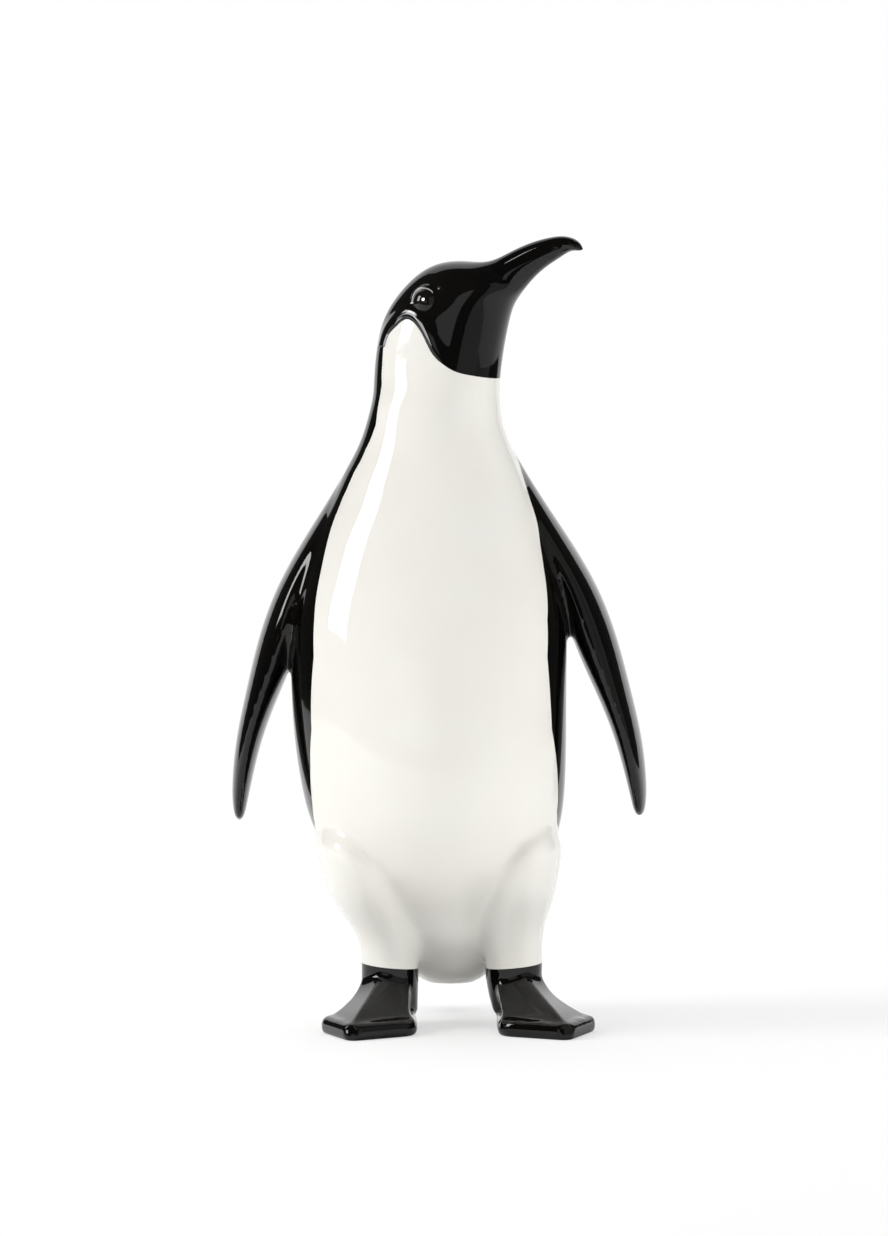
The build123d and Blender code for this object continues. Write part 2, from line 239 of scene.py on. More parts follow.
# Feet: webbed fans with a ridge along the middle toe
FOOT_LENGTH = 41.0 * MM
FOOT_RIM = 5.8 * MM
FOOT_EDGE_RADIUS = 2.6 * MM
FOOT_CORNER_RADIUS = 4.4 * MM
SOLE_EDGE_RADIUS = 1.9 * MM
SLOPE_INSET = 1.0 * MM
FOOT_TURNOUT = {"right": math.radians(18.0), "left": math.radians(25.0)}
HEEL_AHEAD_SHARE = -0.262
SIDE_AHEAD_SHARE = -0.020
INNER_SIDE_SHARES = {"right": 0.215, "left": 0.140}
OUTER_SIDE_SHARE = 0.200
SIDE_TOE_AHEAD_SHARE = 0.510
INNER_TOE_SHARES = {"right": 0.395, "left": 0.385}
OUTER_TOE_SHARES = {"right": 0.425, "left": 0.495}
FOOT_RING_SHARES = (
    (0.275, 1.00, 1.00),
    (0.430, 0.76, 0.56),
    (0.620, 0.42, 0.22),
    (0.860, 0.03, 0.02),
)
FOOT_ROOT_SHARE = 0.93
ANKLE_TAPER = {"right": 0.96, "left": 0.70}
ANKLE_TAPER_SHARES = ((0.24, 1.00), (0.60, 0.32), (0.85, 0.05), (1.00, 0.00), (1.20, 0.00))
FOOT_ROOT_ANGLES = (180, -115, -62, 0, 62, 115)
CORNER_SEGMENTS = 10
EDGE_SEGMENTS = 8
TAPER_SCALE = 10 * MM
STUB_SIDES = 64

# Tail: how far back, top, underside and half width
TAIL_LENGTH = 34.0 * MM
TAIL_RISE = 30.0 * MM
TAIL_HALF_WIDTH = 11.0 * MM
TAIL_ROOT_Y = 20.0 * MM
TAIL_UNDERSIDE = 11.0 * MM
TAIL_SHARES = (
    (0.00, 1.00, 0.10, 1.00),
    (0.35, 0.82, 0.02, 1.08),
    (0.65, 0.50, 0.00, 0.98),
    (0.88, 0.26, 0.00, 0.72),
    (1.00, 0.14, 0.04, 0.38),
)

# Eyes: domed pellets in sockets, with a low round lid
EYE_RADIUS = 4.4 * MM
EYE_SEAT_DEPTH = 2.4 * MM
EYE_SINK = 2.3 * MM
EYE_LIFT = EYE_SEAT_DEPTH - EYE_SINK
LID_RADIUS = 1.1 * MM
LID_DROP = 1.70 * MM
LID_SIDES = 24
LID_STEPS = 96

SIDES = ("right", "left")

# Modelling: a fillet's reach, the rounds that shape it and how often the whole skin is smoothed after it
HEAD_FILLET = (2.0 * MM, 12, 8)
FOOT_FILLET = (3.2 * MM, 20, 12)
BODY_PASSES = 2
CUTTER_FAT = 1.2 * MM
NORMAL_REACH = 0.3 * MM
BILL_TIP_BULGE = 0.6 * MM
DOME_ANGLES = (25, 45, 62, 76, 86)
PARTING_CUTS = 31
HOOD_MARGIN = 10 * MM
ANKLE_MARGIN = 5 * MM
LINE_STEPS = 12
SLOPE_STEPS = 8
EDGE_STEPS = 6

# Glazes: noise scales, and patch amount, wave height and dimple height of each glaze
PATCH_SCALE = 38.0
GLOSS_SCALE = 120.0
WAVE_SCALE = 55.0
DIMPLE_SCALE = 620.0
GLAZE_IOR = 1.43
BROWN_SHARES = (2.2, 1.9, 1.5)
BLACK_FLOW = (0.6, 0.10, 0.004)
WHITE_FLOW = (0.35, 0.05, 0.003)

# Stage: the sweep from front to back, how white camera and mirror rays see it near and far, and the camera
SWEEP_PROFILE = (
    (-0.46, 0.0),
    (0.3, 0.0),
    (0.9, 0.0),
    (1.4, 0.08),
    (1.75, 0.5),
    (1.85, 1.5),
    (1.6, 2.1),
    (1.15, 2.35),
)
SWEEP_HALF_WIDTH = 1.3
SWEEP_COLOUR = (0.9, 0.9, 0.9)
NEAR_AND_FAR = (0.1, 0.7)
SEEN_SHARES = (0.60, 0.99)
MIRROR_SHARES = (0.10, 0.85)
ROOM_GLOW = 0.04
CAMERA_SHIFT = 1.45 * MM
CAMERA_HEIGHT = 182.9 * MM
CAMERA_DROP = 156.0 / 4340.0
SENSOR_WIDTH = 36.0


class FigureSettings(bpy.types.PropertyGroup):
    """Sizes that govern how fine and how soft the modelled skin is"""

    skin_grain: FloatProperty(
        name="Skin grain", description="Width of the small faces of the skin",
        default=0.9 * MM, unit="LENGTH",
    )
    foot_grain: FloatProperty(
        name="Foot grain", description="Width of the small faces of the feet",
        default=0.45 * MM, unit="LENGTH",
    )
    head_grain: FloatProperty(
        name="Head grain", description="Width of the small faces of the head",
        default=0.28 * MM, unit="LENGTH",
    )
    fillet_reach: FloatProperty(
        name="Fillet reach", description="How far the soft fillets spread at the joints",
        default=5.0 * MM, unit="LENGTH",
    )
    fillet_rounds: IntProperty(
        name="Fillet rounds", description="How often the joints are smoothed", default=26, min=0
    )
    ring_sides: IntProperty(
        name="Ring sides", description="Corners of each ring of the rough forms", default=144, min=8
    )
    ring_steps: IntProperty(
        name="Ring steps", description="Rings between two rows of a table", default=6, min=1
    )


class GlazeSettings(bpy.types.PropertyGroup):
    """Colours and gloss of the two glazes"""

    black: FloatVectorProperty(
        name="Black glaze", description="Colour of the black glaze",
        subtype="COLOR", default=(0.0016, 0.0015, 0.0014),
    )
    white: FloatVectorProperty(
        name="White glaze", description="Colour of the white glaze",
        subtype="COLOR", default=(0.83, 0.816, 0.765),
    )
    warm: FloatVectorProperty(
        name="Warm patches", description="Colour of the warmer patches in the white",
        subtype="COLOR", default=(0.80, 0.77, 0.70),
    )
    gloss: FloatProperty(
        name="Roughness", description="Roughness of both glazes", default=0.05, min=0.0, max=1.0
    )


class StageSettings(bpy.types.PropertyGroup):
    """Lights, floor and camera"""

    focal_length: FloatProperty(
        name="Focal length", description="Lens of the camera in millimetres", default=126.41
    )
    camera_distance: FloatProperty(
        name="Camera distance", description="From the ankles' axis to the camera",
        default=1.4, unit="LENGTH",
    )
    key_glow: FloatProperty(
        name="Left strip", description="Brightness of the left strip light", default=12.0
    )
    side_glow: FloatProperty(
        name="Right panels", description="Brightness of the right panels", default=0.40
    )
    low_glow: FloatProperty(
        name="Front panel", description="Brightness of the panel beside the camera", default=0.7
    )
    fill_glow: FloatProperty(name="Fill", description="Brightness of the two fills", default=2.2)
    floor_glow: FloatProperty(
        name="Floor wash", description="Brightness of the light for the floor", default=2.4
    )
    hood_glow: FloatProperty(
        name="Hood lights", description="Brightness of the two lights for the hood", default=12.0
    )
    eye_glow: FloatProperty(
        name="Eye light", description="Brightness of the small light for the eyes", default=40.0
    )


# Meshes


def new_object(name, mesh):
    """A mesh or bmesh as a new object in the scene"""
    if isinstance(mesh, bmesh.types.BMesh):
        data = bpy.data.meshes.new(name)
        mesh.to_mesh(data)
        mesh.free()
        mesh = data
    made = bpy.data.objects.new(name, mesh)
    bpy.context.scene.collection.objects.link(made)
    return made


def closed_object(name, mesh):
    """A closed bmesh as a new object, with its faces turned outward"""
    bmesh.ops.recalc_face_normals(mesh, faces=mesh.faces[:])
    return new_object(name, mesh)


def ring_edges(mesh, sides, radius, place):
    """The edges of a new circle"""
    verts = bmesh.ops.create_circle(mesh, segments=sides, radius=radius, matrix=place)["verts"]
    return {edge for vert in verts for edge in vert.link_edges}


def bridge(mesh, loops):
    """Joins loops of edges one after another and closes both ends"""
    for lower, upper in zip(loops, loops[1:]):
        bmesh.ops.bridge_loops(mesh, edges=[*lower, *upper])
    for end in (loops[0], loops[-1]):
        bmesh.ops.contextual_create(mesh, geom=[*end])


def bridged(name, mesh, loops):
    """Loops of edges joined one after another into a closed object"""
    bridge(mesh, loops)
    return closed_object(name, mesh)


def pull(mesh, extruded, way):
    """Moves the new end of an extrusion"""
    verts = [part for part in extruded["geom"] if isinstance(part, bmesh.types.BMVert)]
    bmesh.ops.translate(mesh, verts=verts, vec=way)


def remove(*objects):
    """Deletes helper objects with their meshes"""
    for gone in objects:
        mesh = gone.data
        bpy.data.objects.remove(gone)
        bpy.data.meshes.remove(mesh)


def bake_modifiers(piece):
    """Gives a piece the mesh that its modifiers make"""
    graph = bpy.context.evaluated_depsgraph_get()
    mesh = bpy.data.meshes.new_from_object(piece.evaluated_get(graph), depsgraph=graph)
    old = piece.data
    piece.modifiers.clear()
    piece.data = mesh
    mesh.name = piece.name
    bpy.data.meshes.remove(old)


def trim(piece, tool, operation):
    """Cuts a piece with another closed piece: DIFFERENCE or INTERSECT"""
    cut = piece.modifiers.new("cut", "BOOLEAN")
    cut.operation = operation
    cut.solver = "MANIFOLD"
    cut.object = tool
    bake_modifiers(piece)
    if not piece.data.polygons:
        raise RuntimeError(piece.name + " has nothing left after " + tool.name)


def copy_of(piece, name):
    """A piece again, with a mesh of its own"""
    return new_object(name, piece.data.copy())


def smooth_between(rings, steps):
    """The given rings and more between them, on one smooth curve through all"""
    values = np.array([[*centre, *ahead, *beside] for centre, ahead, beside in rings])
    gaps = np.linalg.norm(np.diff(values, axis=0), axis=1)
    count = len(rings)
    system = np.zeros((count, count))
    bends = np.zeros_like(values)
    system[0, 0] = system[-1, -1] = 1.0
    for row in range(1, count - 1):
        system[row, row - 1 : row + 2] = (gaps[row - 1], 2 * (gaps[row - 1] + gaps[row]), gaps[row])
        rise = (values[row + 1] - values[row]) / gaps[row] - (values[row] - values[row - 1]) / gaps[row - 1]
        bends[row] = 6 * rise
    bends = np.linalg.solve(system, bends)
    dense = []
    for row in range(count - 1):
        for step in range(steps + (row == count - 2)):
            t = gaps[row] * step / steps
            rest = gaps[row] - t
            value = (bends[row] * rest**3 + bends[row + 1] * t**3) / (6 * gaps[row])
            value += (values[row] / gaps[row] - bends[row] * gaps[row] / 6) * rest
            value += (values[row + 1] / gaps[row] - bends[row + 1] * gaps[row] / 6) * t
            dense.append((Vector(value[0:3]), Vector(value[3:6]), Vector(value[6:9])))
    return dense


def lofted(name, rings, sides):
    """A closed form through rings, each given by its centre and two half axes"""
    mesh = bmesh.new()
    loops = []
    for centre, ahead, beside in rings:
        normal = ahead.cross(beside).normalized()
        place = Matrix((ahead, beside, normal)).transposed().to_4x4()
        place.translation = centre + TO_ORIGIN
        loops.append(ring_edges(mesh, sides, 1.0, place))
    return bridged(name, mesh, loops)


def level_ring(x, y, z, half_width, half_depth, turn=0.0):
    """A level oval ring; its first corner is turned away from the front"""
    wide = Vector((half_width, 0.0, 0.0))
    deep = Vector((0.0, -half_depth, 0.0))
    ahead = deep * math.cos(turn) + wide * math.sin(turn)
    beside = wide * math.cos(turn) - deep * math.sin(turn)
    return Vector((x, y, z)), ahead, beside


def trunk_ring(row, inset):
    """One ring of the trunk, drawn in by the wall for the hollow inside"""
    height, centre, width, front, back, turn = row
    front_y = -front * BELLY_DEPTH + inset
    back_y = back * BACK_DEPTH - inset
    half_width = width * TRUNK_HALF_WIDTH - inset
    middle = (front_y + back_y) / 2
    half_depth = (back_y - front_y) / 2
    x = centre * TRUNK_HALF_WIDTH
    return level_ring(x, middle, height * FIGURE_HEIGHT, half_width, half_depth, math.radians(turn))


def head_directions():
    """Ahead along the look of the head, and across it"""
    ahead = Vector((math.sin(HEAD_HEADING), -math.cos(HEAD_HEADING), 0.0))
    across = Vector((math.cos(HEAD_HEADING), math.sin(HEAD_HEADING), 0.0))
    return ahead, across


def head_point(along, height):
    """A point of the head by its shares of the head's span and the figure's height"""
    up = Vector((0.0, 0.0, height * FIGURE_HEIGHT))
    return HEAD_AXIS + up + head_directions()[0] * (along * HEAD_SPAN)


def head_ring(row, inset):
    """One ring of the head or the bill"""
    back_along, back_height, front_along, front_height, width = row
    back = head_point(back_along, back_height)
    front = head_point(front_along, front_height)
    reach = (front - back) / 2
    half_width = width * HEAD_SPAN - inset
    shorter = reach.normalized() * (reach.length - inset)
    return (back + front) / 2, shorter, head_directions()[1] * half_width


def rounded_end(rings, bulge):
    """Closes the last ring with a dome"""
    centre, ahead, beside = rings[-1]
    outward = (centre - rings[-2][0]).normalized()
    made = list(rings)
    for angle in DOME_ANGLES:
        lift = math.sin(math.radians(angle)) * bulge
        shrink = math.cos(math.radians(angle))
        made.append((centre + outward * lift, ahead * shrink, beside * shrink))
    return made


def figure_form(settings):
    """Rump, trunk, neck, head and bill in one form"""
    rings = [trunk_ring(row, 0.0) for row in TRUNK_SHARES]
    rings += [head_ring(row, 0.0) for row in HEAD_SHARES]
    rings = smooth_between(rings, settings.ring_steps)
    rings = rounded_end(rings, BILL_TIP_BULGE)
    return lofted("figure", rings, settings.ring_sides)


def hollow_form(settings):
    """The hollow inside, one wall within the outer form"""
    rings = [trunk_ring(row, CAST_WALL) for row in TRUNK_SHARES[HOLLOW_FIRST_ROW:]]
    rings += [head_ring(row, CAST_WALL) for row in HEAD_SHARES[:HOLLOW_LAST_HEAD_ROW]]
    return lofted("hollow", smooth_between(rings, HOLLOW_STEPS), settings.ring_sides // 2)


def flipper_form(side, fat, settings):
    """A flipper's blade, made fatter where it serves as a cutter"""
    sign = -1 if side == "right" else 1
    top = FLIPPER_SHARES[0][0]
    tip = FLIPPER_SHARES[-1][0]
    rings = []
    for height, reach, thick, chord, middle in FLIPPER_SHARES:
        climb = (height - tip) / (top - tip)
        x = sign * reach * FLIPPER_REACH + climb * SHOULDER_SHIFT
        z = height * FIGURE_HEIGHT + (1 - climb) * FLIPPER_LIFT[side]
        turn = math.radians(FLIPPER_TURN[side])
        half_thickness = thick * FLIPPER_THICKNESS / 2 + fat
        half_chord = chord * FLIPPER_CHORD / 2 + fat
        ahead = Vector((math.sin(turn), -math.cos(turn), 0.0)) * half_chord
        beside = Vector((math.cos(turn), math.sin(turn), 0.0)) * half_thickness
        rings.append((Vector((x, middle * FLIPPER_CHORD, z)), ahead, beside))
    return lofted("flipper_" + side, smooth_between(rings, settings.ring_steps), settings.ring_sides // 2)


def leg_form(side, fat, settings):
    """A thigh and ankle, made fatter where it serves as a cutter"""
    sign = -1 if side == "right" else 1
    rings = []
    for rise, reach, width, depth, forward, shift in LEG_SHARES:
        swell = 1 + (THIGH_SWELL[side] - 1) * forward
        outward = reach * ANKLE_SPACING - (swell - 1) * width * ANKLE_HALF_WIDTH
        x = sign * outward + shift * STANCE_SHIFT
        y = -forward * ANKLE_HALF_DEPTH
        z = ANKLE_HEIGHT + rise * LEG_RISE
        half_width = swell * width * ANKLE_HALF_WIDTH + fat
        half_depth = swell * depth * ANKLE_HALF_DEPTH + fat
        rings.append(level_ring(x, y, z, half_width, half_depth))
    return lofted("leg_" + side, smooth_between(rings, settings.ring_steps), settings.ring_sides // 2)


def tail_form(fat, settings):
    """The short wedge of the tail"""
    x = TRUNK_SHARES[0][1] * TRUNK_HALF_WIDTH
    rings = []
    for along, top, bottom, width in TAIL_SHARES:
        high = TAIL_UNDERSIDE + top * TAIL_RISE + fat
        low = TAIL_UNDERSIDE + bottom * TAIL_RISE - fat
        y = TAIL_ROOT_Y + along * TAIL_LENGTH
        upward = Vector((0.0, 0.0, (high - low) / 2))
        beside = Vector((width * TAIL_HALF_WIDTH + fat, 0.0, 0.0))
        rings.append((Vector((x, y, (high + low) / 2)), upward, beside))
    return lofted("tail_wedge", smooth_between(rings, settings.ring_steps), settings.ring_sides // 3)


def breast_side_tool():
    """Everything in front of the flank line"""
    mesh = bmesh.new()
    loops = []
    for height, heading, cut in PARTING_SHARES:
        turn = Matrix.Translation(TO_ORIGIN) @ Matrix.Rotation(math.radians(heading), 4, "Z")
        middle = Matrix.Translation((0.0, -cut * BELLY_DEPTH - PARTING_REACH / 2, height * FIGURE_HEIGHT))
        shape = Matrix.Rotation(math.radians(45.0), 4, "Z")
        squash = Matrix.Diagonal((PARTING_REACH, PARTING_REACH / 2, 1.0, 1.0))
        loops.append(ring_edges(mesh, 4, math.sqrt(2.0), turn @ middle @ squash @ shape))
    sheets = []
    for edges in loops:
        long = [edge for edge in edges if edge.calc_length() > 1.5 * PARTING_REACH]
        cuts = bmesh.ops.subdivide_edges(mesh, edges=long, cuts=PARTING_CUTS)["geom_split"]
        more = [part for part in cuts if isinstance(part, bmesh.types.BMEdge)]
        sheets.append(set(more) | (edges - set(long)))
    return bridged("breast_side", mesh, sheets)


def curve_points(points, steps):
    """More points on a smooth curve through the given ones"""
    rings = [(Vector(point), Vector((0, 0, 0)), Vector((0, 0, 0))) for point in points]
    return [ring[0] for ring in smooth_between(rings, steps)]


def side_prism(name, outline, reach):
    """A prism that runs across the head, from an outline seen from its side"""
    across = head_directions()[1]
    mesh = bmesh.new()
    verts = [mesh.verts.new(point + TO_ORIGIN - across * reach) for point in outline]
    face = mesh.faces.new(verts)
    pull(mesh, bmesh.ops.extrude_face_region(mesh, geom=[face]), across * (2 * reach))
    return closed_object(name, mesh)


def hood_side_tool():
    """Everything above the lower edge of the hood"""
    ahead = head_directions()[0]
    edge = curve_points([head_point(along, height) for along, height in HOOD_EDGE_SHARES], EDGE_STEPS)
    top = FIGURE_HEIGHT + HOOD_MARGIN
    base = Vector((HEAD_AXIS.x, HEAD_AXIS.y, 0.0))
    corners = (
        (-HOOD_REACH, HOOD_NAPE_SHARE * FIGURE_HEIGHT),
        (-HOOD_REACH, top),
        (HOOD_REACH, top),
        (HOOD_REACH, HOOD_THROAT_SHARE * FIGURE_HEIGHT),
    )
    outline = edge + [base + ahead * along + Vector((0, 0, height)) for along, height in corners]
    return side_prism("hood_side", outline, HOOD_REACH)


def box_tool(name, place, low, high):
    """A box between two corners, set by a placing matrix"""
    mesh = bmesh.new()
    size = Vector(high) - Vector(low)
    middle = (Vector(high) + Vector(low)) / 2
    origin = Matrix.Translation(TO_ORIGIN)
    shape = origin @ place @ Matrix.Translation(middle) @ Matrix.Diagonal(size).to_4x4()
    bmesh.ops.create_cube(mesh, size=1.0, matrix=shape)
    return closed_object(name, mesh)


def bill_tool():
    """Everything ahead of the root of the bill"""
    back_along, back_height, front_along, front_height, width = HEAD_SHARES[BILL_ROOT_ROW]
    back = head_point(back_along, back_height)
    front = head_point(front_along, front_height)
    across = head_directions()[1]
    normal = (front - back).cross(across).normalized()
    upright = normal.cross(across)
    place = Matrix((across, upright, normal)).transposed().to_4x4()
    place.translation = (back + front) / 2
    reach = HEAD_SPAN
    return box_tool("bill_side", place, (-reach, -reach, 0.0), (reach, reach, 1.5 * reach))


def below_ankle_tool(side):
    """Everything below the glaze line of an ankle, which falls towards the inner side"""
    sign = -1 if side == "right" else 1
    at_ankle = Matrix.Translation((sign * ANKLE_SPACING + STANCE_SHIFT, 0.0, ANKLE_HEIGHT))
    place = at_ankle @ Matrix.Rotation(-sign * ANKLE_TILT, 4, "Y")
    reach = FOOT_LENGTH + ANKLE_MARGIN
    return box_tool("below_ankle_" + side, place, (-reach, -reach, -2 * reach), (reach, reach, 0.0))


def united(name, forms, grain):
    """Several closed forms fused into one even skin"""
    mesh = bmesh.new()
    for form in forms:
        mesh.from_mesh(form.data)
    skin = new_object(name, mesh)
    fuse = skin.modifiers.new("fuse", "REMESH")
    fuse.mode = "VOXEL"
    fuse.voxel_size = grain
    bake_modifiers(skin)
    return skin


def eye_place(side):
    """The middle of an eye's ball, with +Z out of the head"""
    low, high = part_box("eye_" + side)
    sign = -1 if side == "right" else 1
    outer = low if side == "right" else high
    middle = Vector((outer.x - sign * EYE_RADIUS, outer.y - sign * EYE_RADIUS, (low.z + high.z) / 2))
    outward = head_directions()[1] * sign
    place = outward.to_track_quat("Z", "Y").to_matrix().to_4x4()
    place.translation = middle
    return place


def lid_form(side):
    """The ring that stands a little proud round an eye"""
    mesh = bmesh.new()
    place = eye_place(side)
    lift = EYE_SINK - LID_DROP
    outward = Matrix.Translation((EYE_RADIUS, 0.0, lift))
    start = place @ outward @ Matrix.Rotation(math.radians(90.0), 4, "X")
    bmesh.ops.create_circle(mesh, segments=LID_SIDES, radius=LID_RADIUS, matrix=start)
    axis = place.to_3x3() @ Vector((0.0, 0.0, 1.0))
    bmesh.ops.spin(
        mesh, geom=mesh.verts[:] + mesh.edges[:], cent=place.translation, axis=axis,
        angle=math.radians(360.0), steps=LID_STEPS, use_merge=True,
    )
    bmesh.ops.remove_doubles(mesh, verts=mesh.verts[:], dist=WELD)
    return closed_object("lid_" + side, mesh)


def vertex_rows(mesh, name):
    """Places or normals of all vertices, a row for each"""
    values = np.empty(len(mesh.vertices) * 3)
    mesh.vertices.foreach_get(name, values)
    return values.reshape(-1, 3)


def shape_along(skin, shares, reach, profile):
    """Raises or sinks the skin beside a line that is drawn on both sides of the head"""
    ahead, across = head_directions()
    base = HEAD_AXIS + TO_ORIGIN
    line = [(along * HEAD_SPAN, 0.0, height * FIGURE_HEIGHT) for along, height in shares]
    line = curve_points(line, LINE_STEPS)
    line = np.array([(point.x, point.z) for point in line])
    mesh = skin.data
    points = vertex_rows(mesh, "co")
    normals = vertex_rows(mesh, "normal")
    flat = np.stack([(points - np.array(base)) @ np.array(ahead), points[:, 2]], axis=1)
    inside = (flat > line.min(axis=0) - reach) & (flat < line.max(axis=0) + reach)
    near = np.where(inside.all(axis=1))[0]
    distance = np.linalg.norm(flat[near, None, :] - line[None, :, :], axis=2).min(axis=1)
    facing = np.clip(np.abs(normals[near] @ np.array(across)) * FACING_GAIN - FACING_START, 0.0, 1.0)
    lift = profile(line, flat[near], distance) * facing
    points[near] += normals[near] * lift[:, None]
    mesh.vertices.foreach_set("co", points.ravel())
    mesh.update()


def eased(share):
    """A soft step from 0 to 1"""
    share = np.clip(share, 0.0, 1.0)
    return share * share * (3 - 2 * share)


def lip_profile(line, flat, distance):
    """A rounded swelling above the edge of the hood, fading towards the throat"""
    order = np.argsort(line[:, 0])
    above = flat[:, 1] > np.interp(flat[:, 0], line[order, 0], line[order, 1])
    share = np.clip(distance / LIP_REACH, 0.0, 1.0)
    front = [ahead * HEAD_SPAN for ahead in LIP_FRONT_SHARES]
    fade = eased((front[1] - flat[:, 0]) / (front[1] - front[0]))
    return LIP_HEIGHT * LIP_PEAK * share * (1 - share) ** 2 * above * fade


def mouth_profile(line, flat, distance):
    """A shallow groove that fades at both ends"""
    ends = np.minimum(flat[:, 0] - line[:, 0].min(), line[:, 0].max() - flat[:, 0])
    return -MOUTH_DEPTH * np.exp(-((distance / MOUTH_WIDTH) ** 2)) * eased(ends / MOUTH_FADE)


def soften_joints(skin, forms, reach, rounds, passes):
    """Lays the skin back on its forms and rounds it where two forms meet"""
    mesh = bmesh.new()
    mesh.from_mesh(skin.data)
    trees = []
    for form in forms:
        rough = bmesh.new()
        rough.from_mesh(form.data)
        bmesh.ops.triangulate(rough, faces=rough.faces[:])
        trees.append(BVHTree.FromBMesh(rough))
        rough.free()
    bands = [[] for step in range(rounds + 1)]
    for vert in mesh.verts:
        hits = sorted((tree.find_nearest(vert.co) for tree in trees), key=lambda hit: hit[3])
        nearness = 1 - hits[1][3] / reach
        bands[max(0, min(rounds, math.ceil(nearness * rounds)))].append(vert)
        vert.co = hits[0][0]

    def smooth(verts):
        bmesh.ops.smooth_vert(
            mesh, verts=verts, factor=0.5, use_axis_x=True, use_axis_y=True, use_axis_z=True
        )

    moving = []
    for band in reversed(bands[1:]):
        moving += band
        smooth(moving)
    for vert in moving:
        for tree in trees:
            point, normal, face, distance = tree.find_nearest(vert.co, reach)
            if point and (vert.co - point).dot(normal) < 0:
                vert.co = point
    for again in range(passes):
        smooth(mesh.verts[:])
    bmesh.ops.recalc_face_normals(mesh, faces=mesh.faces[:])
    mesh.to_mesh(skin.data)
    mesh.free()


def take_normals(piece, skin):
    """The piece shades like the uncut skin, so no seam shows"""
    piece.data.shade_smooth()
    lend = piece.modifiers.new("normals", "DATA_TRANSFER")
    lend.object = skin
    lend.use_loop_data = True
    lend.data_types_loops = {"CUSTOM_NORMAL"}
    lend.loop_mapping = "POLYINTERP_NEAREST"
    lend.use_max_distance = True
    lend.max_distance = NORMAL_REACH
    bake_modifiers(piece)


# Shader groups and materials


def shader_group(name, inputs, outputs):
    """A shader node group with named sockets"""
    group = bpy.data.node_groups.new(name, "ShaderNodeTree")
    for title, kind, value in inputs:
        socket = group.interface.new_socket(name=title, in_out="INPUT", socket_type=kind)
        socket.default_value = value
    for title, kind in outputs:
        group.interface.new_socket(name=title, in_out="OUTPUT", socket_type=kind)
    return group


def math_node(tree, operation, one, other):
    """What an operation makes of two sockets"""
    made = tree.nodes.new("ShaderNodeMath")
    made.operation = operation
    tree.links.new(one, made.inputs[0])
    tree.links.new(other, made.inputs[1])
    return made.outputs[0]


def range_node(tree, value, given, wanted):
    """A value carried over from one range to another"""
    made = tree.nodes.new("ShaderNodeMapRange")
    for socket, number in zip(("From Min", "From Max", "To Min", "To Max"), (*given, *wanted)):
        made.inputs[socket].default_value = number
    tree.links.new(value, made.inputs["Value"])
    return made.outputs["Result"]


def glaze_flow_group():
    """Slow waves, fine dimples and soft patches of a dipped glaze"""
    group = shader_group(
        "Glaze flow",
        (
            ("Base", "NodeSocketColor", (0.8, 0.8, 0.8, 1.0)),
            ("Patch", "NodeSocketColor", (0.7, 0.7, 0.7, 1.0)),
            ("Patch Amount", "NodeSocketFloat", 0.5),
            ("Wave Height", "NodeSocketFloat", 0.5),
            ("Dimple Height", "NodeSocketFloat", 0.1),
            ("Roughness", "NodeSocketFloat", 0.05),
        ),
        (("Color", "NodeSocketColor"), ("Roughness", "NodeSocketFloat"), ("Height", "NodeSocketFloat")),
    )
    link = group.links.new
    given = group.nodes.new("NodeGroupInput").outputs
    result = group.nodes.new("NodeGroupOutput").inputs
    place = group.nodes.new("ShaderNodeTexCoord")

    def noise(scale, detail):
        made = group.nodes.new("ShaderNodeTexNoise")
        made.inputs["Scale"].default_value = scale
        made.inputs["Detail"].default_value = detail
        link(place.outputs["Object"], made.inputs["Vector"])
        return made.outputs["Fac"]

    patch = range_node(group, noise(PATCH_SCALE, 2.0), (0.40, 0.68), (0.0, 1.0))
    blend = group.nodes.new("ShaderNodeMix")
    blend.data_type = "RGBA"
    link(math_node(group, "MULTIPLY", patch, given["Patch Amount"]), blend.inputs["Factor"])
    link(given["Base"], blend.inputs["A"])
    link(given["Patch"], blend.inputs["B"])
    link(blend.outputs["Result"], result["Color"])

    gloss = range_node(group, noise(GLOSS_SCALE, 3.0), (0.3, 0.7), (0.75, 1.35))
    link(math_node(group, "MULTIPLY", gloss, given["Roughness"]), result["Roughness"])

    wave = math_node(group, "MULTIPLY", noise(WAVE_SCALE, 1.0), given["Wave Height"])
    dimple = math_node(group, "MULTIPLY", noise(DIMPLE_SCALE, 2.0), given["Dimple Height"])
    link(math_node(group, "ADD", wave, dimple), result["Height"])
    return group


def glaze_material(name, group, base, patch, flow, roughness):
    """A clear glossy glaze over an opaque colour"""
    material = bpy.data.materials.new(name)
    material.use_nodes = True
    nodes = material.node_tree.nodes
    link = material.node_tree.links.new
    shader = nodes["Principled BSDF"]
    shader.inputs["IOR"].default_value = GLAZE_IOR
    glaze = nodes.new("ShaderNodeGroup")
    glaze.node_tree = group
    titles = ("Base", "Patch", "Patch Amount", "Wave Height", "Dimple Height", "Roughness")
    for title, value in zip(titles, ((*base, 1.0), (*patch, 1.0), *flow, roughness)):
        glaze.inputs[title].default_value = value
    bump = nodes.new("ShaderNodeBump")
    bump.inputs["Strength"].default_value = 1.0
    bump.inputs["Distance"].default_value = 1.0 * MM
    link(glaze.outputs["Height"], bump.inputs["Height"])
    link(bump.outputs["Normal"], shader.inputs["Normal"])
    link(glaze.outputs["Color"], shader.inputs["Base Color"])
    link(glaze.outputs["Roughness"], shader.inputs["Roughness"])
    return material


